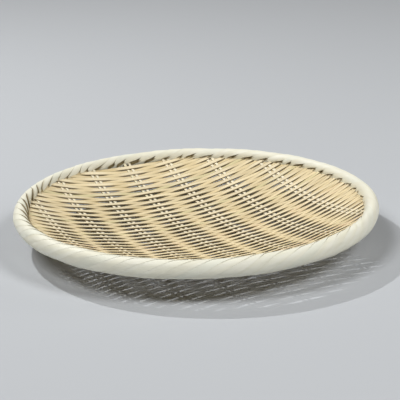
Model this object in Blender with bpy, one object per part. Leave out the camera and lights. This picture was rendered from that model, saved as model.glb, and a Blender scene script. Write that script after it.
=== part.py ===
# A zaru: a shallow round tray woven from bamboo splints, with a bound rim.
# Metres, +Z up. It stands on z = 0 and the rim's axis is Z.
# The wefts, which cross the tray side by side, run along X. The warps, in pairs, run along Y.

import math

import bmesh
import bpy
import numpy as np

MM = 0.001

# Rim: two half-round hoops, and pale strips wound round both of them side by side.
outer_diameter = 300 * MM
rim_width = 12 * MM
rim_height = 15 * MM
binding_thickness = 0.7 * MM
binding_gap = 0.5 * MM
binding_strip_count = 6
binding_turns = 11
binding_bends_per_turn = 12
binding_start_angle = math.radians(210)
binding_smooth_angle = math.radians(35)
hoop_segments = 60
hoop_smooth_angle = math.radians(30)
hoop_seam_distance = 0.003 * MM

# Warps: pairs of thin splints, two fingers' breadth apart. One pair runs through the middle.
warp_pair_spacing = 36.6 * MM
warp_splint_spacing = 4.4 * MM
warp_width = 2.6 * MM
warp_thickness = 0.6 * MM
shortest_warp = 70 * MM
rows_per_warp_bend = 5

# Wefts: narrow splints woven to and fro, row beside row.
weft_width = 3.3 * MM
weft_thickness = 0.6 * MM
weft_gap = 0.4 * MM
weft_splint_count = 8
shortest_row = 40 * MM
turn_width = 1.2 * MM

# Dish: a flat base that the tray stands on, and a side that steepens towards the rim.
dish_depth = 27 * MM
dish_curve_power = 1.4
edge_below_rim_centre = 1 * MM
base_margin = 1 * MM

# Pieces that touch on the real tray lie this far apart.
touch_gap = 0.3 * MM

# The gaps between binding strips are measured at this many points along each stretch.
points_per_bend = 6

pale_bamboo = (0.84, 0.84, 0.74)
tan_bamboo = (0.77, 0.63, 0.38)
straw_bamboo = (0.82, 0.70, 0.46)
green_bamboo = (0.70, 0.66, 0.42)


# Rim, worked out from its width and height
rim_half_width = rim_width / 2
rim_half_height = rim_height / 2
rim_centre_radius = outer_diameter / 2 - rim_half_width
strip_lines = binding_strip_count * binding_turns
strip_line_angle = math.tau / strip_lines
rim_girth = math.pi * (rim_half_width + rim_half_height)
strip_slant = math.atan2(rim_girth, math.tau * rim_centre_radius / binding_turns)
strip_gap_angle = binding_gap / math.sin(strip_slant) / (rim_centre_radius - rim_half_width)
strip_half_angle = (strip_line_angle - strip_gap_angle) / 2
bend_angle = math.tau / binding_bends_per_turn
strip_facet_sag = outer_diameter / 2 * (1 - math.cos(strip_half_angle))
strip_bend_sag = rim_half_height * (1 - math.cos(bend_angle / 2))
hoop_facet_sag = outer_diameter / 2 * (1 - math.cos(math.pi / hoop_segments))
hoop_inset = binding_thickness + strip_bend_sag + touch_gap
hoop_half_width = rim_half_width - hoop_inset - strip_facet_sag - hoop_facet_sag
hoop_half_height = rim_half_height - hoop_inset

# Weave, worked out from the splints
warp_pair_half_width = (warp_splint_spacing + warp_width) / 2
crossing_lift = (warp_thickness + weft_thickness) / 2 + touch_gap

# Mat, worked out from the rim that it fits in: its edge lies against the binding's inner side
mat_radius = rim_centre_radius - rim_half_width - strip_facet_sag - touch_gap
turn_inner_radius = mat_radius - turn_width
warp_end_radius = turn_inner_radius - touch_gap
last_row_edge = math.sqrt(turn_inner_radius ** 2 - (shortest_row / 2) ** 2)
row_count = 2 * int(last_row_edge / (weft_width + weft_gap))
weft_spacing = 2 * last_row_edge / row_count
warp_bend_spacing = rows_per_warp_bend * weft_spacing
last_warp_edge = math.sqrt(warp_end_radius ** 2 - (shortest_warp / 2) ** 2)
warp_pairs_each_side = int((last_warp_edge - warp_pair_half_width) / warp_pair_spacing)
base_corner = (warp_pair_spacing + warp_pair_half_width, warp_bend_spacing)
base_radius = math.hypot(*base_corner) + base_margin
base_height = crossing_lift + weft_thickness / 2
rim_centre_height = base_height + dish_depth + edge_below_rim_centre


def bamboo(name, colour, roughness):
    """A plain bamboo finish of one colour."""
    material = bpy.data.materials.new(name)
    material.use_nodes = True
    surface = material.node_tree.nodes["Principled BSDF"]
    surface.inputs["Base Color"].default_value = (*colour, 1)
    surface.inputs["Roughness"].default_value = roughness
    surface.inputs["Metallic"].default_value = 0
    material.diffuse_color = (*colour, 1)
    return material


def add_object(name, shape, material, height=0.0, smooth_below=0.0):
    """Turns a finished shape into a named object, at a height, with round sides shaded smooth."""
    bmesh.ops.recalc_face_normals(shape, faces=shape.faces[:])
    mesh = bpy.data.meshes.new(name)
    shape.to_mesh(mesh)
    shape.free()
    mesh.materials.append(material)
    if smooth_below:
        mesh.shade_smooth()
        mesh.set_sharp_from_angle(angle=smooth_below)
    piece = bpy.data.objects.new(name, mesh)
    piece.location.z = height
    bpy.context.scene.collection.objects.link(piece)
    return piece


def dish_rise(distance):
    """How far the mat has risen above its flat base at a distance from the tray's axis."""
    share = max(0.0, (distance - base_radius) / (mat_radius - base_radius))
    return dish_depth * share ** dish_curve_power


def nearest_warp_pair(x):
    """Where the middle of the nearest warp pair lies along X."""
    return math.floor(x / warp_pair_spacing + 0.5) * warp_pair_spacing


def bends_around_x(x):
    """The two lines along Y, on either side of a place, at which the mat bends: the sides of warp pairs."""
    pair_x = nearest_warp_pair(x)
    if abs(x - pair_x) <= warp_pair_half_width:
        return pair_x - warp_pair_half_width, pair_x + warp_pair_half_width
    if x > pair_x:
        return pair_x + warp_pair_half_width, pair_x + warp_pair_spacing - warp_pair_half_width
    return pair_x - warp_pair_spacing + warp_pair_half_width, pair_x - warp_pair_half_width


def mat_height(x, y):
    """Height of the mat's middle. It is flat between the lines at which the splints bend."""
    left, right = bends_around_x(x)
    near = math.floor(y / warp_bend_spacing) * warp_bend_spacing
    far = near + warp_bend_spacing
    across_share = (x - left) / (right - left)
    along_share = (y - near) / warp_bend_spacing
    near_rise = dish_rise(math.hypot(left, near)) * (1 - across_share)
    near_rise += dish_rise(math.hypot(right, near)) * across_share
    far_rise = dish_rise(math.hypot(left, far)) * (1 - across_share)
    far_rise += dish_rise(math.hypot(right, far)) * across_share
    return base_height + near_rise * (1 - along_share) + far_rise * along_share


def row_place(row):
    """Where the middle of a weft row lies along Y."""
    return (row + 0.5 - row_count / 2) * weft_spacing


def weave_lift(x, row):
    """How far a weft runs above the mat's middle, over one warp pair, or below it, under the next."""
    wave = 2 / math.pi * math.asin(math.cos(math.pi * x / warp_pair_spacing))
    level_share = 1 - 2 * warp_pair_half_width / warp_pair_spacing
    lift = crossing_lift * max(-1, min(1, wave / level_share))
    return lift if row % 2 else -lift


def row_bends():
    """Where each weft bends: at both sides of each warp pair."""
    bends = []
    for number in range(-warp_pairs_each_side, warp_pairs_each_side + 1):
        pair_x = number * warp_pair_spacing
        bends += [pair_x - warp_pair_half_width, pair_x + warp_pair_half_width]
    return bends


def reach(radius, y):
    """Half the length of the line at y that fits in a circle."""
    return math.sqrt(radius ** 2 - y ** 2)


def weft_edge(row, side, first_radius, last_radius):
    """One long edge of a row along +X, from circle to circle, on the side towards -Y or +Y."""
    y = row_place(row) + side * weft_width / 2
    start, end = -reach(first_radius, y), reach(last_radius, y)
    places = [start]
    for bend in row_bends():
        if bend - weft_gap < start:
            bend = start
        if bend + weft_gap > end:
            bend = end
        places.append(bend)
    places.append(end)
    points = []
    for x in places:
        points.append((x, y, mat_height(x, y) + weave_lift(x, row) + weft_thickness / 2))
    return points


def turn_section(row, heading):
    """The middle of a turn from one row to the next, at the rim: its inner and its outer point."""
    y = row_place(row) + weft_spacing / 2
    section = []
    for radius in (turn_inner_radius, mat_radius):
        x = heading * reach(radius, y)
        section.append((x, y, mat_height(x, y) + weft_thickness / 2))
    return section


def build_splint(name, left, right, thickness, material):
    """A splint from the two long edges of its upper face. Where an edge waits, the faces fan round it."""
    shape = bmesh.new()
    lefts = [shape.verts.new(left[0])]
    rights = [shape.verts.new(right[0])]
    for station in range(1, len(left)):
        for points, corners in ((left, lefts), (right, rights)):
            waits = points[station] == points[station - 1]
            corners.append(corners[-1] if waits else shape.verts.new(points[station]))
        ring = dict.fromkeys((lefts[-2], rights[-2], rights[-1], lefts[-1]))
        if len(ring) > 2:
            shape.faces.new(list(ring))
    under = bmesh.ops.extrude_face_region(shape, geom=shape.faces[:])
    under_corners = [part for part in under["geom"] if isinstance(part, bmesh.types.BMVert)]
    bmesh.ops.translate(shape, vec=(0, 0, -thickness), verts=under_corners)
    return add_object(name, shape, material)


def build_weft_splint(name, first_row, last_row, material):
    """One long splint, woven to and fro: at the rim it turns back into the next row."""
    left, right = [], []
    for row in range(first_row, last_row + 1):
        heading = 1 if row % 2 == 0 else -1
        lead_radius = mat_radius if row == first_row else turn_inner_radius
        tail_radius = mat_radius if row == last_row else turn_inner_radius
        from_left, to_right = (lead_radius, tail_radius) if heading > 0 else (tail_radius, lead_radius)
        # The side that faces the row before is short where the splint came in,
        # and the side that faces the next row is short where it goes on.
        if heading > 0:
            before_side = weft_edge(row, -1, from_left, mat_radius)
            after_side = weft_edge(row, 1, mat_radius, to_right)
            left += after_side
            right += before_side
        else:
            before_side = weft_edge(row, -1, mat_radius, to_right)
            after_side = weft_edge(row, 1, from_left, mat_radius)
            left += before_side[::-1]
            right += after_side[::-1]
        if row < last_row:
            inner, outer = turn_section(row, heading)
            left.append(inner if heading > 0 else outer)
            right.append(outer if heading > 0 else inner)
    return build_splint(name, left, right, weft_thickness, material)


def build_warp_splint(name, x, material):
    """One warp splint from rim to rim, bent to the dish."""
    end = reach(warp_end_radius, abs(x) + warp_width / 2)
    bend_count = int(end / warp_bend_spacing)
    places = [-end] + [bend * warp_bend_spacing for bend in range(-bend_count, bend_count + 1)] + [end]
    left = [(x - warp_width / 2, y, mat_height(x - warp_width / 2, y) + warp_thickness / 2) for y in places]
    right = [(x + warp_width / 2, y, mat_height(x + warp_width / 2, y) + warp_thickness / 2) for y in places]
    return build_splint(name, left, right, warp_thickness, material)


def build_hoop(name, side, material):
    """A half-round hoop: side 1 is the outer one, -1 the inner one. Their flat sides face each other."""
    shape = bmesh.new()
    flat_place = touch_gap / 2
    flat_half_height = hoop_half_height * math.sqrt(1 - (flat_place / hoop_half_width) ** 2)
    outline = [(flat_place, -flat_half_height)]
    for degrees in (-45, 0, 45):
        angle = math.radians(degrees)
        outline.append((hoop_half_width * math.cos(angle), hoop_half_height * math.sin(angle)))
    outline.append((flat_place, flat_half_height))
    corners = [shape.verts.new((rim_centre_radius + side * x, 0, z)) for x, z in outline]
    edges = [shape.edges.new((corner, corners[index - 1])) for index, corner in enumerate(corners)]
    bmesh.ops.spin(
        shape, geom=corners + edges, cent=(0, 0, 0), axis=(0, 0, 1),
        angle=math.tau, steps=hoop_segments, use_merge=True,
    )
    bmesh.ops.remove_doubles(shape, verts=shape.verts[:], dist=hoop_seam_distance)
    return add_object(name, shape, material, rim_centre_height, hoop_smooth_angle)


def binding_edges(strip):
    """The two long edges of a binding strip, outside and inside, from its first end to its last."""
    sweep = binding_turns * math.tau - binding_gap / rim_half_width
    steps = binding_turns * binding_bends_per_turn
    tube_angles = [binding_start_angle + bend_angle * step for step in range(steps)]
    tube_angles.append(binding_start_angle + sweep)
    edges = [[], [], [], []]
    for tube_angle in tube_angles:
        middle = strip * strip_line_angle + (tube_angle - binding_start_angle) / binding_turns
        corners = ((-1, 0), (1, 0), (1, binding_thickness), (-1, binding_thickness))
        for edge, (side, inset) in zip(edges, corners):
            angle = middle + side * strip_half_angle
            radius = rim_centre_radius + (rim_half_width - inset) * math.cos(tube_angle)
            height = (rim_half_height - inset) * math.sin(tube_angle)
            edge.append((radius * math.cos(angle), radius * math.sin(angle), height))
    return edges


def build_binding_strip(name, strip, material):
    """One pale strip, wound round both hoops and once round the tray."""
    shape = bmesh.new()
    edges = [[shape.verts.new(point) for point in edge] for edge in binding_edges(strip)]
    for edge, next_edge in zip(edges, edges[1:] + edges[:1]):
        for step in range(1, len(edge)):
            shape.faces.new((edge[step - 1], edge[step], next_edge[step], next_edge[step - 1]))
    shape.faces.new([edge[0] for edge in edges])
    shape.faces.new([edge[-1] for edge in reversed(edges)])
    return add_object(name, shape, material, rim_centre_height, binding_smooth_angle)


def fine_points(edge):
    """Points close together along an edge."""
    corners = np.array(edge)
    shares = np.arange(points_per_bend)[:, None, None] / points_per_bend
    return (corners[:-1] * (1 - shares) + corners[1:] * shares).reshape(-1, 3)


def print_least_gaps():
    """Measures on points how close a binding strip comes to its neighbour and to its own turns."""
    first = binding_edges(0)
    near_side = np.concatenate([fine_points(first[1]), fine_points(first[2])])
    to_neighbour = min(
        np.linalg.norm(fine_points(edge)[:, None] - near_side[None], axis=2).min()
        for edge in (binding_edges(1)[0], binding_edges(1)[3])
    )
    steps_apart = binding_bends_per_turn // 2
    corners = np.array(first).transpose(1, 0, 2)
    to_itself = min(
        np.linalg.norm(corners[step + steps_apart:, :, None] - corners[step][None, None], axis=3).min()
        for step in range(len(corners) - steps_apart)
    )
    print(f"binding strips: {to_neighbour / MM:.2f} mm from strip to strip")
    print(f"binding strip: {to_itself / MM:.2f} mm at least from itself")


for old in list(bpy.data.objects):
    bpy.data.objects.remove(old, do_unlink=True)

hoop_bamboo = bamboo("hoop_bamboo", green_bamboo, 0.5)
binding_bamboo = bamboo("binding_bamboo", pale_bamboo, 0.45)
warp_bamboo = bamboo("warp_bamboo", straw_bamboo, 0.5)
weft_bamboo = bamboo("weft_bamboo", tan_bamboo, 0.5)

build_hoop("outer_hoop", 1, hoop_bamboo)
build_hoop("inner_hoop", -1, hoop_bamboo)

for strip in range(binding_strip_count):
    build_binding_strip(f"binding_strip_{strip + 1}", strip, binding_bamboo)

for side_name, side in (("left", -1), ("right", 1)):
    build_warp_splint(f"middle_warp_{side_name}", side * warp_splint_spacing / 2, warp_bamboo)
    for number in range(1, warp_pairs_each_side + 1):
        inner_x = number * warp_pair_spacing - warp_splint_spacing / 2
        outer_x = number * warp_pair_spacing + warp_splint_spacing / 2
        build_warp_splint(f"{side_name}_warp_{number}_inner", side * inner_x, warp_bamboo)
        build_warp_splint(f"{side_name}_warp_{number}_outer", side * outer_x, warp_bamboo)

for number in range(weft_splint_count):
    first_row = row_count * number // weft_splint_count
    last_row = row_count * (number + 1) // weft_splint_count - 1
    build_weft_splint(f"weft_splint_{number + 1}", first_row, last_row, weft_bamboo)

print_least_gaps()
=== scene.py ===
import math
import random

import bmesh
import bpy
from mathutils import Matrix, Vector, noise


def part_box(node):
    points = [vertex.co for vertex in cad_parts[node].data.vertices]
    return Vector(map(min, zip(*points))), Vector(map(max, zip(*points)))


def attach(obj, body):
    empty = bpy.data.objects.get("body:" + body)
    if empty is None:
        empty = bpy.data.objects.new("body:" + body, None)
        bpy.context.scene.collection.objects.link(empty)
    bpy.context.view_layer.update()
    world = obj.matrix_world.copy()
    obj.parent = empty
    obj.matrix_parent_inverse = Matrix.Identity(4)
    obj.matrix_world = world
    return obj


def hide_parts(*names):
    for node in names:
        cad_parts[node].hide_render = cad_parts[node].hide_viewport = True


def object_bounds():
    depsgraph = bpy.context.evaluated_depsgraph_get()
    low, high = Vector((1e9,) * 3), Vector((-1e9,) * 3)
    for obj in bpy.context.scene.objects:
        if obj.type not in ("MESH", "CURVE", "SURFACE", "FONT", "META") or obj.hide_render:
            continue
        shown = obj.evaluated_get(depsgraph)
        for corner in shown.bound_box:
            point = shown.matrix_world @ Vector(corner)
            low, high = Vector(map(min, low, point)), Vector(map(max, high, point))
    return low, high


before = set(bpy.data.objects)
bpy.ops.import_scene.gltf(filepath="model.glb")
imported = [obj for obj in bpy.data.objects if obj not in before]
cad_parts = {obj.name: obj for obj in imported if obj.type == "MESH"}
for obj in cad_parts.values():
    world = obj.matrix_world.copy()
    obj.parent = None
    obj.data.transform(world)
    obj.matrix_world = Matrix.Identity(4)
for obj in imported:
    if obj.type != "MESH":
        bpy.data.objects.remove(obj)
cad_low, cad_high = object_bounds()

MM = 0.001


# Warps: thin bamboo splints, split and shaved to one width, standing in pairs from rim to rim.
# They carry the dish's curve. The wefts are woven over and under them,
# and their ends are held between the two hoops of the rim.
splint_rounding = 0.18 * MM
rounding_segments = 2
long_edge_share = 0.999
splint_crown = 0.12 * MM
soft_edge_angle = math.radians(50)
rim_tuck = 3 * MM
warp_stretch = 1.25 * MM
warp_lift = 0.5 * MM
warp_colour = (0.90, 0.82, 0.62, 1)
warp_deep_colour = (0.84, 0.74, 0.52, 1)
warp_green = (0.78, 0.71, 0.45, 1)
warp_blush = (0.83, 0.68, 0.45, 1)
# Painted shade on the splints' side edges, strongest where the rows part.
painted_edge_shade = (0.055, 0.034, 0.011, 1)
# Painted shade in the hollows, where a splint dips under its neighbours, and underneath.
painted_hollow_shade = (0.045, 0.027, 0.008, 1)
# A painted highlight on the crests, where a splint rides over.
warp_highlight = (0.91, 0.84, 0.64, 1)
warp_fibres_per_metre = 2600
warp_streak = 0.22
warp_edge_shade = 0.50
warp_unlike = 0.10
warp_roughness = 0.42
splint_relief = 0.03 * MM
tone_steps = 7
dull_edge_roughness = 0.45
skin_gloss = 0.5
sheen_change = 0.08
relief_strength = 0.6

outer_hoop_low, outer_hoop_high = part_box("outer_hoop")
rim_centre_height = (outer_hoop_low.z + outer_hoop_high.z) / 2
mat_radius = 138 * MM
mat_edge_below_rim_centre = 0.4 * MM
mat_edge_rise = 2.3 * MM
mat_edge_rise_angle = math.radians(128)
mat_edge_dip = 1.8 * MM
mat_edge_dip_angle = math.radians(182)
mat_edge_reach = math.radians(32)
mat_edge_power = 8
mat_base_height = 1.46 * MM
dish_curve_power = 2.3
dish_depth = rim_centre_height - mat_edge_below_rim_centre - mat_base_height


def hump(angle, middle, reach):
    """1 at one angle, and fading to 0 on both sides of it."""
    away = (angle - middle + math.pi) % math.tau - math.pi
    return math.exp(-(away / reach) ** 2)


def dish_height(x, y):
    """Height of the mat's middle: almost flat where the tray stands, then steeper up to the rim.
    At the back the mat was clamped a little higher between the hoops, and at the left lower."""
    out = math.hypot(x, y) / mat_radius
    angle = math.atan2(y, x)
    edge = mat_edge_rise * hump(angle, mat_edge_rise_angle, mat_edge_reach)
    edge -= mat_edge_dip * hump(angle, mat_edge_dip_angle, mat_edge_reach)
    return mat_base_height + dish_depth * out ** dish_curve_power + edge * out ** mat_edge_power


def straight_splint(length, width, thickness, stretch, rounding):
    """A straight splint along X with rounded long edges, in short stretches so that it can bend."""
    shape = bmesh.new()
    bmesh.ops.create_cube(shape, size=1)
    bmesh.ops.scale(shape, vec=(length, width, thickness), verts=shape.verts[:])
    long_edges = [edge for edge in shape.edges if edge.calc_length() > length * long_edge_share]
    bmesh.ops.bevel(
        shape, geom=long_edges, affect="EDGES", offset=rounding, offset_type="OFFSET",
        segments=rounding_segments, profile=0.5, material=-1,
    )
    everything = shape.verts[:] + shape.edges[:] + shape.faces[:]
    bmesh.ops.bisect_plane(shape, geom=everything, plane_co=(0, 0, 0), plane_no=(0, 1, 0))
    long_edges = [edge for edge in shape.edges if edge.calc_length() > length * long_edge_share]
    cuts = math.ceil(length / stretch) - 1
    bmesh.ops.subdivide_edges(shape, edges=long_edges, cuts=cuts, use_grid_fill=True)
    return shape


def bend_splint(shape, route, crown, tone):
    """Lays a straight splint along its route. Each point keeps its place on the splint, for the
    fibres, and its painted light: 1, a painted highlight on a crest, down to -1, painted shade in a
    hollow and underneath."""
    place = shape.verts.layers.float_vector.new("splint_place")
    height = shape.verts.layers.float.new("splint_painted_light")
    for corner in shape.verts:
        along, across, up = corner.co
        corner[place] = (along, across, tone)
        if abs(across) < splint_rounding / 2 and up > 0:
            up += crown
        corner.co, corner[height] = route(along, across, up)
        if up < 0:
            corner[height] = -1
    return shape


def add_to(group, shape):
    """Puts a finished splint with the others of its group."""
    mesh = bpy.data.meshes.new("one splint")
    shape.to_mesh(mesh)
    shape.free()
    group.from_mesh(mesh)
    bpy.data.meshes.remove(mesh)


colour_names = (
    "Colour", "Deep colour", "Green colour", "Blush colour", "Painted edge shade", "Painted highlight",
    "Painted hollow shade",
)


def bamboo_grain_group():
    """Bamboo fibres: a tone for each splint and long streaks, with a painted highlight on crests
    and painted shade on the edges and in hollows, which are dull as well."""
    fibre_along, fibre_detail = 55, 3
    patch_along, patch_across, patch_detail = 22, 160, 2
    noise_roughness = 0.6
    tone_shift = 97
    patch_fade = (0.3, 0.75)
    green_fade, blush_fade, tint_share = (0.16, 0.02), (0.84, 0.98), 0.75
    parted_shade_fade, edge_shade_fade = (0.15, 0.7), (0.82, 0.95)
    highlight_fade, highlight_share = (0.3, 1.0), 0.6
    hollow_shade_fade, hollow_shade_edge_fade = (-0.5, -0.95), (0.35, 0.9)
    group = bpy.data.node_groups.new("bamboo_grain", "ShaderNodeTree")
    sockets = group.interface
    sockets.new_socket("Place", in_out="INPUT", socket_type="NodeSocketVector")
    sockets.new_socket("Height", in_out="INPUT", socket_type="NodeSocketFloat")
    for name in colour_names:
        sockets.new_socket(name, in_out="INPUT", socket_type="NodeSocketColor")
    for name in ("Half width", "Fibres per metre", "Streak", "Edge", "Unlike"):
        sockets.new_socket(name, in_out="INPUT", socket_type="NodeSocketFloat")
    sockets.new_socket("Colour", in_out="OUTPUT", socket_type="NodeSocketColor")
    sockets.new_socket("Fibre", in_out="OUTPUT", socket_type="NodeSocketFloat")
    sockets.new_socket("Dull", in_out="OUTPUT", socket_type="NodeSocketFloat")
    nodes, links = group.nodes, group.links
    given = nodes.new("NodeGroupInput")
    result = nodes.new("NodeGroupOutput")

    def maths(operation, first, second=0.0):
        node = nodes.new("ShaderNodeMath")
        node.operation = operation
        for socket, value in zip(node.inputs, (first, second)):
            if isinstance(value, bpy.types.NodeSocket):
                links.new(value, socket)
            else:
                socket.default_value = value
        return node.outputs[0]

    def stretched_noise(along_scale, across_scale, detail):
        place = nodes.new("ShaderNodeCombineXYZ")
        links.new(maths("MULTIPLY", along, along_scale), place.inputs[0])
        links.new(maths("MULTIPLY", across, across_scale), place.inputs[1])
        links.new(maths("MULTIPLY", tone, tone_shift), place.inputs[2])
        texture = nodes.new("ShaderNodeTexNoise")
        texture.inputs["Scale"].default_value = 1
        texture.inputs["Detail"].default_value = detail
        texture.inputs["Roughness"].default_value = noise_roughness
        links.new(place.outputs[0], texture.inputs["Vector"])
        return texture.outputs["Fac"]

    def mixed(share, first, second, blend="MIX"):
        node = nodes.new("ShaderNodeMix")
        node.data_type = "RGBA"
        node.blend_type = blend
        sockets_in = (node.inputs[0], node.inputs[6], node.inputs[7])
        for socket, value in zip(sockets_in, (share, first, second)):
            if isinstance(value, bpy.types.NodeSocket):
                links.new(value, socket)
            else:
                socket.default_value = value
        return node.outputs[2]

    def faded(value, fade, most=1.0):
        node = nodes.new("ShaderNodeMapRange")
        node.interpolation_type = "SMOOTHSTEP"
        links.new(value, node.inputs["Value"])
        node.inputs["From Min"].default_value = fade[0]
        node.inputs["From Max"].default_value = fade[1]
        node.inputs["To Max"].default_value = most
        return node.outputs["Result"]

    place = nodes.new("ShaderNodeSeparateXYZ")
    links.new(given.outputs["Place"], place.inputs[0])
    along, across, tone = place.outputs
    fibre = stretched_noise(fibre_along, given.outputs["Fibres per metre"], fibre_detail)
    patch = stretched_noise(patch_along, patch_across, patch_detail)
    base = mixed(faded(patch, patch_fade), given.outputs["Colour"], given.outputs["Deep colour"])
    base = mixed(faded(tone, green_fade, tint_share), base, given.outputs["Green colour"])
    base = mixed(faded(tone, blush_fade, tint_share), base, given.outputs["Blush colour"])
    shade = maths("MULTIPLY", maths("SUBTRACT", fibre, 0.5), given.outputs["Streak"])
    from_middle = maths("DIVIDE", maths("ABSOLUTE", across), given.outputs["Half width"])
    # Painted shade along the splint's sides, stronger the more the rows part there.
    parted_shade = faded(maths("ABSOLUTE", given.outputs["Height"]), parted_shade_fade)
    edge_shade_strength = maths("MAXIMUM", parted_shade, given.outputs["Edge"])
    edge = maths("MULTIPLY", faded(from_middle, edge_shade_fade), edge_shade_strength)
    own = maths("SUBTRACT", maths("FRACT", maths("MULTIPLY", tone, tone_steps)), 0.5)
    own = maths("MULTIPLY", own, given.outputs["Unlike"])
    light = maths("ADD", maths("ADD", shade, own), 1.0)
    grey = nodes.new("ShaderNodeCombineColor")
    for socket in grey.inputs:
        links.new(light, socket)
    # A painted highlight where the splint rides over a crest.
    crest = faded(given.outputs["Height"], highlight_fade, highlight_share)
    # Painted shade in the hollows and underneath, towards the splint's sides.
    hollow_shade_edge = faded(from_middle, hollow_shade_edge_fade)
    hollow = maths("MULTIPLY", faded(given.outputs["Height"], hollow_shade_fade), hollow_shade_edge)
    lit = mixed(crest, base, given.outputs["Painted highlight"])
    lit = mixed(1.0, lit, grey.outputs[0], "MULTIPLY")
    lit = mixed(edge, lit, given.outputs["Painted edge shade"])
    links.new(mixed(hollow, lit, given.outputs["Painted hollow shade"]), result.inputs["Colour"])
    links.new(fibre, result.inputs["Fibre"])
    links.new(maths("MAXIMUM", edge, hollow), result.inputs["Dull"])
    return group


bamboo_grain = bamboo_grain_group()


def bamboo_finish(name, colours, half_width, fibres, streak, edge, unlike, roughness, relief):
    """A satin bamboo surface: the grain gives its colour and its dull places, the fibres its relief."""
    material = bpy.data.materials.new(name)
    material.use_nodes = True
    nodes, links = material.node_tree.nodes, material.node_tree.links
    surface = nodes["Principled BSDF"]
    place = nodes.new("ShaderNodeAttribute")
    place.attribute_name = "splint_place"
    grain = nodes.new("ShaderNodeGroup")
    grain.node_tree = bamboo_grain
    links.new(place.outputs["Vector"], grain.inputs["Place"])
    height = nodes.new("ShaderNodeAttribute")
    height.attribute_name = "splint_painted_light"
    links.new(height.outputs["Fac"], grain.inputs["Height"])
    for socket, colour in zip(colour_names, colours):
        grain.inputs[socket].default_value = colour
    grain.inputs["Half width"].default_value = half_width
    grain.inputs["Fibres per metre"].default_value = fibres
    grain.inputs["Streak"].default_value = streak
    grain.inputs["Edge"].default_value = edge
    grain.inputs["Unlike"].default_value = unlike
    links.new(grain.outputs["Colour"], surface.inputs["Base Color"])
    sheen = nodes.new("ShaderNodeMapRange")
    sheen.inputs["To Min"].default_value = roughness - sheen_change
    sheen.inputs["To Max"].default_value = roughness + sheen_change
    links.new(grain.outputs["Fibre"], sheen.inputs["Value"])
    dull = nodes.new("ShaderNodeMath")
    dull.operation = "MULTIPLY_ADD"
    dull.inputs[1].default_value = dull_edge_roughness
    links.new(grain.outputs["Dull"], dull.inputs[0])
    links.new(sheen.outputs["Result"], dull.inputs[2])
    links.new(dull.outputs[0], surface.inputs["Roughness"])
    gloss = nodes.new("ShaderNodeMath")
    gloss.operation = "MULTIPLY_ADD"
    gloss.inputs[1].default_value = -skin_gloss
    gloss.inputs[2].default_value = skin_gloss
    links.new(grain.outputs["Dull"], gloss.inputs[0])
    links.new(gloss.outputs[0], surface.inputs["Specular IOR Level"])
    bump = nodes.new("ShaderNodeBump")
    bump.inputs["Strength"].default_value = relief_strength
    bump.inputs["Distance"].default_value = relief
    links.new(grain.outputs["Fibre"], bump.inputs["Height"])
    links.new(bump.outputs["Normal"], surface.inputs["Normal"])
    return material


def finish_piece(name, shape, material, sharp_angle, slot, *nodes):
    """Makes a finished shape the real piece that is seen in place of its nodes."""
    mesh = bpy.data.meshes.new(name)
    shape.to_mesh(mesh)
    shape.free()
    mesh.materials.append(material)
    mesh.shade_smooth()
    mesh.set_sharp_from_angle(angle=sharp_angle)
    piece = bpy.data.objects.new(name, mesh)
    bpy.context.scene.collection.objects.link(piece)
    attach(piece, "root")
    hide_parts(*nodes)
    return piece


weave_seed = 5
random.seed(weave_seed)
first_pair_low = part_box("right_warp_1_inner")[0]
first_pair_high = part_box("right_warp_1_outer")[1]
warp_pair_spacing = (first_pair_low.x + first_pair_high.x) / 2
first_splint_low, first_splint_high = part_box("weft_splint_1")
rows_per_splint = 9
cad_weft_width = 3.3 * MM
row_spacing = (first_splint_high.y - first_splint_low.y - cad_weft_width) / (rows_per_splint - 1)
first_row_y = first_splint_low.y + cad_weft_width / 2
warp_names = sorted(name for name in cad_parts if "_warp_" in name)
warp_low, warp_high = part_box(warp_names[0])
warp_width = warp_high.x - warp_low.x
warp_thickness = 0.6 * MM
warp_finish = bamboo_finish(
    "warp bamboo",
    (warp_colour, warp_deep_colour, warp_green, warp_blush, painted_edge_shade, warp_highlight, painted_hollow_shade),
    warp_width / 2, warp_fibres_per_metre, warp_streak, warp_edge_shade, warp_unlike, warp_roughness,
    splint_relief,
)

for name in warp_names:
    low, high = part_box(name)
    warp_x = (low.x + high.x) / 2
    pair = round(warp_x / warp_pair_spacing)
    first_over = -1 if pair % 2 else 1

    def warp_route(along, across, up):
        """From front to back across the tray, on the dish, over one row and under the next."""
        x, y = warp_x - across, along
        over = first_over * math.cos(math.pi * (y - first_row_y) / row_spacing)
        # The second value is the painted light: a highlight where the warp crosses over a row, shade
        # where it dips under.
        return Vector((x, y, dish_height(x, y) + warp_lift * over + up)), over

    warp_length = high.y - low.y + 2 * rim_tuck
    warp = straight_splint(warp_length, warp_width, warp_thickness, warp_stretch, splint_rounding)
    bend_splint(warp, warp_route, splint_crown, random.random())
    finish_piece(
        name.replace("warp", "standing_splint"), warp, warp_finish, soft_edge_angle,
        "warp_bamboo", name,
    )


# Wefts: long narrow splints with the glossy skin of the bamboo upwards, laid row beside row.
# Each row goes over one warp pair and under the next, and its neighbours do the opposite,
# so the rows lie level midway between two pairs and part at the pairs into long slits.
weft_width = 3.72 * MM
weft_thickness = 1.0 * MM
weft_rounding = 0.2 * MM
weft_stretch = 3 * MM
weft_lift = 0.9 * MM
weft_lift_shares = (0.94, 1.06)
weft_width_shares = (0.96, 1.005)
weft_spread_share = -0.18
weft_end_radius = 140.5 * MM
weft_wander = 0.12 * MM
wanders_per_metre = 45
weft_bow = 0.10 * MM
bows_per_metre = 60
bow_seed = 7
row_seeds = (0, 1000)
wave_flatness = 0.9

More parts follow.
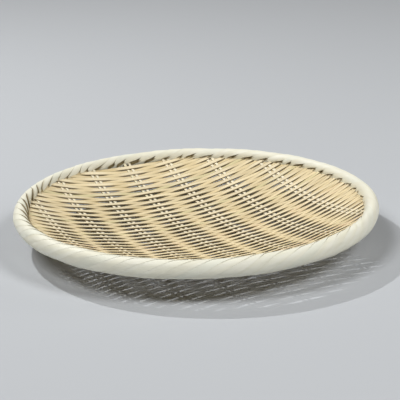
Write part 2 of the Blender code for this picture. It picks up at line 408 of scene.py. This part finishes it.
# The rows differ over the tray. They are flatter and wider at the back right and near the rim,
# and thinner, with fainter painted shade and highlights, at the front left. The front rows are painted
# a little paler too, and the back rows darker, as painted light and shade.
weft_back_calm_share = 0.1
weft_back_spread_share = -0.11
weft_rim_calm_share = 0.5
weft_rim_spread_share = 0.02
weft_front_shade_share = 0.15
weft_front_thickness_share = 0.5
tight_from = 0
tight_to = 75 * MM
front_from = 5 * MM
front_to = 75 * MM
row_tight_lean = 0.5
rim_tight_from_share = 0.72
rim_tight_to_share = 0.9
palest_row_y = -90 * MM
darkest_row_y = 90 * MM

weft_colour = (0.84, 0.705, 0.44, 1)
weft_deep_colour = (0.70, 0.56, 0.31, 1)
weft_green = (0.71, 0.63, 0.35, 1)
weft_blush = (0.76, 0.59, 0.36, 1)
# A painted highlight on the rows' crests.
weft_highlight = (0.93, 0.83, 0.60, 1)
weft_fibres_per_metre = 2200
weft_streak = 0.36
weft_edge_shade = 0.35
weft_unlike = 0.28
weft_roughness = 0.36


def share_between(value, low, high):
    """0 below the low value, 1 above the high one, and a smooth change between them."""
    share = min(max((value - low) / (high - low), 0), 1)
    return share * share * (3 - 2 * share)


def back_tightness(x, y):
    """0 in the tray's middle and 1 at its back right, where the last rows were beaten in hard."""
    return share_between(y + x * row_tight_lean, tight_from, tight_to)


def at_front(x, y):
    """1 at the front left of the tray, where the rows stay a little apart up to the rim, 0 behind."""
    return share_between(-y - x * row_tight_lean, front_from, front_to)


def rim_tightness(x, y):
    """1 near the rim, where the hoops hold every row down, and 0 away from it."""
    return share_between(math.hypot(x, y) / mat_radius, rim_tight_from_share, rim_tight_to_share)


def weave_wave(x):
    """1 over a warp pair, -1 under the next one, and 0 midway, where the rows lie level."""
    wave = math.cos(math.pi * x / warp_pair_spacing)
    return math.tanh(wave * wave_flatness) / math.tanh(wave_flatness)


weft_finish = bamboo_finish(
    "weft bamboo",
    (weft_colour, weft_deep_colour, weft_green, weft_blush, painted_edge_shade, weft_highlight, painted_hollow_shade),
    weft_width / 2, weft_fibres_per_metre, weft_streak, weft_edge_shade, weft_unlike, weft_roughness,
    splint_relief,
)

weft_names = sorted(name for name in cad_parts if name.startswith("weft_splint"))
for splint, name in enumerate(weft_names):
    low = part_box(name)[0]
    rows = bmesh.new()
    rows.verts.layers.float_vector.new("splint_place")
    for number in range(rows_per_splint):
        row = splint * rows_per_splint + number
        row_y = low.y + cad_weft_width / 2 + number * row_spacing
        first_lift = 1 if row % 2 else -1
        row_lift = weft_lift * random.uniform(*weft_lift_shares)
        row_width_share = random.uniform(*weft_width_shares)
        row_seed = random.uniform(*row_seeds)
        # Painted light and shade: the rows are paler towards the front and darker towards the back.
        paler = 1 - share_between(row_y, palest_row_y, darkest_row_y)
        row_tone = (random.randrange(tone_steps) + (random.random() + paler) / 2) / tone_steps
        half_length = math.sqrt(weft_end_radius ** 2 - row_y ** 2)

        def weft_route(along, across, up):
            """From left to right across the tray, over and under the warp pairs."""
            wander = weft_wander * noise.noise((along * wanders_per_metre, row_seed, 0))
            bow = weft_bow * noise.noise((along * bows_per_metre, row_seed, bow_seed))
            over = first_lift * weave_wave(along)
            back, front = back_tightness(along, row_y), at_front(along, row_y)
            rim = rim_tightness(along, row_y) * (1 - front)
            spread = weft_spread_share + (weft_back_spread_share - weft_spread_share) * back
            spread += (weft_rim_spread_share - spread) * rim
            y = row_y + across * row_width_share * (1 + spread * abs(over)) + wander
            calm = 1 - max(weft_back_calm_share * back, weft_rim_calm_share * rim)
            lift = row_lift * calm * over + bow
            shade = 1 - (1 - weft_front_shade_share) * front
            up *= 1 - (1 - weft_front_thickness_share) * front
            # The second value is the painted light: a highlight on the crests and shade in the hollows,
            # fainter at the front left.
            return Vector((along, y, dish_height(along, y) + lift + up)), over * shade

        weft = straight_splint(2 * half_length, weft_width, weft_thickness, weft_stretch, weft_rounding)
        bend_splint(weft, weft_route, splint_crown, row_tone)
        add_to(rows, weft)
    finish_piece(
        name.replace("weft_splint", "woven_rows"), rows, weft_finish, soft_edge_angle,
        "weft_bamboo", name,
    )


# Hoops: two half-round bands of split bamboo, bent to a ring and lapped, one inside and one
# outside the mat's edge. They clamp the mat between them and stiffen the rim.
# They show only through the narrow gaps of the binding, so the frame's own solids stay.
# Their olive colour is darkened as painted shade for the gaps they show through.
hoop_colour = (0.36, 0.29, 0.13, 1)
hoop_deep_colour = (0.24, 0.18, 0.07, 1)
hoop_patches_per_metre = 60
hoop_fibres_per_metre = 900
hoop_roughness = 0.5
hoop_finish = bpy.data.materials.new("hoop bamboo")
hoop_finish.use_nodes = True
hoop_nodes, hoop_links = hoop_finish.node_tree.nodes, hoop_finish.node_tree.links
hoop_surface = hoop_nodes["Principled BSDF"]
hoop_surface.inputs["Roughness"].default_value = hoop_roughness
hoop_place = hoop_nodes.new("ShaderNodeTexCoord")
hoop_stretch = hoop_nodes.new("ShaderNodeMapping")
hoop_stretch.inputs["Scale"].default_value = (
    hoop_patches_per_metre, hoop_patches_per_metre, hoop_fibres_per_metre,
)
hoop_fibres = hoop_nodes.new("ShaderNodeTexNoise")
hoop_fibres.inputs["Scale"].default_value = 1
hoop_mix = hoop_nodes.new("ShaderNodeMix")
hoop_mix.data_type = "RGBA"
hoop_mix.inputs[6].default_value = hoop_colour
hoop_mix.inputs[7].default_value = hoop_deep_colour
hoop_links.new(hoop_place.outputs["Object"], hoop_stretch.inputs["Vector"])
hoop_links.new(hoop_stretch.outputs["Vector"], hoop_fibres.inputs["Vector"])
hoop_links.new(hoop_fibres.outputs["Fac"], hoop_mix.inputs[0])
hoop_links.new(hoop_mix.outputs[2], hoop_surface.inputs["Base Color"])
for name in ("inner_hoop", "outer_hoop"):
    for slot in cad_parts[name].material_slots:
        slot.material = hoop_finish


# Binding: pale strips with the green skin scraped off, wound at a slant round both hoops and
# the mat's edge. On the outside they lie almost closed, edge to edge. On the inside each one
# passes between two wefts, so it narrows there and its edge rides up on its neighbour.
binding_turns = 11
binding_strip_count = 6
binding_start_angle = math.radians(210)
winding_end_turns = 0.01
binding_rounding = 0.04 * MM
crisp_edge_angle = math.radians(22)
binding_thickness = 0.6 * MM
binding_stretch = 2.4 * MM
binding_crown = 0.01 * MM
binding_sink = 0.35 * MM
binding_gap_share = 0.007
binding_inner_gap_share = 0.11
binding_pinch_angle = math.radians(170)
binding_pinch_spread = math.radians(17)
binding_pinch_share = 0.6
binding_ride_up = 0.7 * MM
binding_outer_ride_share = 0.18
painted_joint_shade = 0.8
joint_shade_from_share = 0.32
joint_shade_to_share = 0.65

# The winding was done by hand. It is loose at the back left, so that its joints open there on
# the inside, and smooth on the outside at the front left. It creeps along the rim in slow waves,
# each given as waves round the rim, start and share, and the rim itself is a little uneven.
tight_gap_share = 0.25
loose_angle = math.radians(152)
loose_reach = math.radians(42)
loose_middle = 0.5
loose_changes = 8
loose_edge_changes = 3
smooth_angle = math.radians(200)
smooth_reach = math.radians(32)
smooth_share = 0.85
creep_angle = math.radians(1.7)
creep_waves = ((17, 1, 1), (26, 4, 0.8), (9, 0, 0.6))
outer_creep_share = 0.2
rim_unevenness = 0.8 * MM
rim_changes = 5

binding_colour = (0.865, 0.85, 0.73, 1)
binding_deep_colour = (0.82, 0.795, 0.64, 1)
binding_green = (0.81, 0.82, 0.70, 1)
binding_blush = (0.84, 0.81, 0.71, 1)
# Painted shade along the open joints and where the strips meet the weave.
binding_painted_edge_shade = (0.36, 0.31, 0.20, 1)
binding_painted_hollow_shade = (0.22, 0.165, 0.075, 1)
binding_edge_reach_share = 1.06
binding_fibres_per_metre = 1500
binding_streak = 0.06
binding_edge_shade = 0.05
binding_unlike = 0.05
binding_roughness = 0.52
binding_relief = 0.02 * MM

rim_half_width = 6 * MM
rim_half_height = cad_high.z - rim_centre_height
rim_centre_radius = cad_high.x - rim_half_width
strip_line_angle = math.tau / (binding_strip_count * binding_turns)
turn_length = math.hypot(
    math.pi * (rim_half_width + rim_half_height), math.tau * rim_centre_radius / binding_turns
)
binding_width = strip_line_angle * rim_centre_radius / 2


def creep_along_rim(angle):
    """How far the strips have crept along the rim at a place."""
    creep = sum(share * math.sin(waves * angle + start) for waves, start, share in creep_waves)
    return creep_angle * creep / 2


def near_weave(tube_angle):
    """1 where the binding meets the weave, on the rim's inner side, and 0 away from it."""
    return hump(tube_angle, binding_pinch_angle, binding_pinch_spread)


def inner_side(tube_angle):
    """1 on the inner side of the rim and 0 on its outer side."""
    return (1 - math.cos(tube_angle)) / 2


def opening(angle):
    """1 at the back left, where the joints are fully open, and less elsewhere."""
    return tight_gap_share + (1 - tight_gap_share) * hump(angle, loose_angle, loose_reach)


def binding_point(strip, along, across, up):
    """A point of a strip on the rim, from its place along, across and above the strip, and the
    painted shade there: down to -1 in an open joint and where the strip meets the weave."""
    tube_angle = binding_start_angle + along / turn_length * math.tau
    side = 2 * across / binding_width
    middle = strip * strip_line_angle + (tube_angle - binding_start_angle) / binding_turns
    inner = inner_side(tube_angle)
    round_rim = (loose_changes * math.cos(middle), loose_changes * math.sin(middle))
    loose = loose_middle + noise.noise((*round_rim, loose_edge_changes * side))
    rough = 1 - smooth_share * hump(middle, smooth_angle, smooth_reach)
    inner_gap = binding_inner_gap_share * inner ** 2 * opening(middle)
    cover = 1 - loose * (binding_gap_share * rough + inner_gap)
    cover -= binding_pinch_share * loose * near_weave(tube_angle)
    angle = middle + side * cover * strip_line_angle / 2
    angle += creep_along_rim(angle) * (outer_creep_share + (1 - outer_creep_share) * inner)
    ride_up = binding_ride_up * (binding_outer_ride_share * rough + inner)
    height = up - binding_sink + side * ride_up / 2
    around = rim_changes * Vector((math.cos(angle), math.sin(angle), 0))
    wide, tall = rim_unevenness * noise.noise(around), rim_unevenness * noise.noise(-around)
    radius = rim_centre_radius + (rim_half_width + height + wide) * math.cos(tube_angle)
    z = rim_centre_height + (rim_half_height + height + tall) * math.sin(tube_angle)
    # Painted shade: in the open joints on the inner side, and darkest where the strip meets the weave.
    joint = painted_joint_shade * opening(angle)
    joint *= share_between(inner, joint_shade_from_share, joint_shade_to_share)
    shade = max(near_weave(tube_angle), joint)
    return Vector((radius * math.cos(angle), radius * math.sin(angle), z)), -shade


binding_finish = bamboo_finish(
    "peeled binding",
    (
        binding_colour, binding_deep_colour, binding_green, binding_blush, binding_painted_edge_shade,
        binding_colour, binding_painted_hollow_shade,
    ),
    binding_edge_reach_share * binding_width / 2, binding_fibres_per_metre, binding_streak,
    binding_edge_shade, binding_unlike, binding_roughness, binding_relief,
)
for strip in range(binding_strip_count):
    winding_length = turn_length * (binding_turns - winding_end_turns)
    winding = straight_splint(
        winding_length, binding_width, binding_thickness, binding_stretch, binding_rounding,
    )

    def binding_route(along, across, up):
        """Eleven turns round the hoops, and once round the tray."""
        return binding_point(strip, along + winding_length / 2, across, up)

    bend_splint(winding, binding_route, binding_crown, random.random())
    finish_piece(
        f"wound_binding_{strip + 1}", winding, binding_finish, crisp_edge_angle, "binding_bamboo",
        f"binding_strip_{strip + 1}",
    )


# Floor and light: a plain pale table, a large soft lamp high at the front left, a small hard one
# at the back left, a white card low at the right, a soft fill from the front right, and a
# little warm light from all round.
floor_radius = 6
floor_segments = 96
floor_colour = (0.530, 0.552, 0.578, 1)
floor_roughness = 0.9
floor_gloss = 0.1
background_colour = (0.60, 0.60, 0.59, 1)
surround_light = (0.047, 0.038, 0.026, 1)
camera_azimuth = math.radians(-26.8)

# Each lamp's place is in metres to the right of the tray, behind it and above it.
soft_key_place, soft_key_size, soft_key_watts = (-2.688, -2.178, 4.902), 2.4, 158
hard_lamp_place, hard_lamp_size, hard_lamp_watts = (-0.822, 0.588, 1.2315), 0.02, 11.2
white_card_place, white_card_size, white_card_watts = (1.365, 0, 0.615), 0.6, 2.5
front_fill_place, front_fill_size, front_fill_watts = (1.65, -1.26, 2.16), 1.0, 37

floor_shape = bmesh.new()
bmesh.ops.create_circle(floor_shape, cap_ends=True, segments=floor_segments, radius=floor_radius)
floor_mesh = bpy.data.meshes.new("table top")
floor_shape.to_mesh(floor_mesh)
floor_shape.free()
floor_finish = bpy.data.materials.new("pale table")
floor_finish.use_nodes = True
floor_surface = floor_finish.node_tree.nodes["Principled BSDF"]
floor_surface.inputs["Base Color"].default_value = floor_colour
floor_surface.inputs["Roughness"].default_value = floor_roughness
floor_surface.inputs["Specular IOR Level"].default_value = floor_gloss
floor_mesh.materials.append(floor_finish)
floor = bpy.data.objects.new("table_top", floor_mesh)
bpy.context.scene.collection.objects.link(floor)

rim_centre = Vector((0, 0, rim_centre_height))
away = Vector((-math.sin(camera_azimuth), math.cos(camera_azimuth), 0))
right = Vector((math.cos(camera_azimuth), math.sin(camera_azimuth), 0))


def add_lamp(name, place, size, watts):
    """A round lamp that faces the tray."""
    to_right, behind, above = place
    spot = rim_centre + to_right * right + behind * away + Vector((0, 0, above))
    light = bpy.data.lights.new(name, "AREA")
    light.shape = "DISK"
    light.size = size
    light.energy = watts
    lamp = bpy.data.objects.new(name, light)
    lamp.location = spot
    lamp.rotation_euler = (rim_centre - spot).to_track_quat("-Z", "Y").to_euler()
    bpy.context.scene.collection.objects.link(lamp)


add_lamp("soft_key", soft_key_place, soft_key_size, soft_key_watts)
add_lamp("hard_lamp", hard_lamp_place, hard_lamp_size, hard_lamp_watts)
add_lamp("white_card", white_card_place, white_card_size, white_card_watts)
add_lamp("front_fill", front_fill_place, front_fill_size, front_fill_watts)

world = bpy.data.worlds.new("studio")
world.use_nodes = True
bpy.context.scene.world = world
sky = world.node_tree.nodes["Background"]
sky.inputs["Color"].default_value = surround_light
seen = world.node_tree.nodes.new("ShaderNodeBackground")
seen.inputs["Color"].default_value = background_colour
rays = world.node_tree.nodes.new("ShaderNodeLightPath")
seen_or_mirrored = world.node_tree.nodes.new("ShaderNodeMath")
seen_or_mirrored.operation = "MAXIMUM"
seen_any_way = world.node_tree.nodes.new("ShaderNodeMath")
seen_any_way.operation = "MAXIMUM"
world_mix = world.node_tree.nodes.new("ShaderNodeMixShader")
world_links = world.node_tree.links
world_links.new(rays.outputs["Is Camera Ray"], seen_or_mirrored.inputs[0])
world_links.new(rays.outputs["Is Glossy Ray"], seen_or_mirrored.inputs[1])
world_links.new(seen_or_mirrored.outputs[0], seen_any_way.inputs[0])
world_links.new(rays.outputs["Is Transmission Ray"], seen_any_way.inputs[1])
world_links.new(seen_any_way.outputs[0], world_mix.inputs[0])
world_links.new(sky.outputs[0], world_mix.inputs[1])
world_links.new(seen.outputs[0], world_mix.inputs[2])
world_links.new(world_mix.outputs[0], world.node_tree.nodes["World Output"].inputs["Surface"])


# Camera: it looks down at the tray from the front left of the weave, from a little over a metre
# away, through a long lens and with a slight roll.
camera_elevation = math.radians(18.35)
camera_roll = math.radians(1.3)
camera_distance = 1.2
camera_lens = 130.8
camera_sensor = 36
aim_right = 3.3 * MM
aim_up = 5.3 * MM
back = -away * math.cos(camera_elevation) + Vector((0, 0, math.sin(camera_elevation)))
up = back.cross(right)
camera_right = right * math.cos(camera_roll) - up * math.sin(camera_roll)
camera_up = right * math.sin(camera_roll) + up * math.cos(camera_roll)
lens = bpy.data.cameras.new("photo camera")
lens.lens = camera_lens
lens.sensor_width = camera_sensor
camera = bpy.data.objects.new("photo_camera", lens)
camera.rotation_euler = Matrix((camera_right, camera_up, back)).transposed().to_euler()
camera.location = rim_centre + back * camera_distance + right * aim_right + up * aim_up
bpy.context.scene.collection.objects.link(camera)
bpy.context.scene.camera = camera
bpy.context.scene.view_settings.view_transform = "Standard"
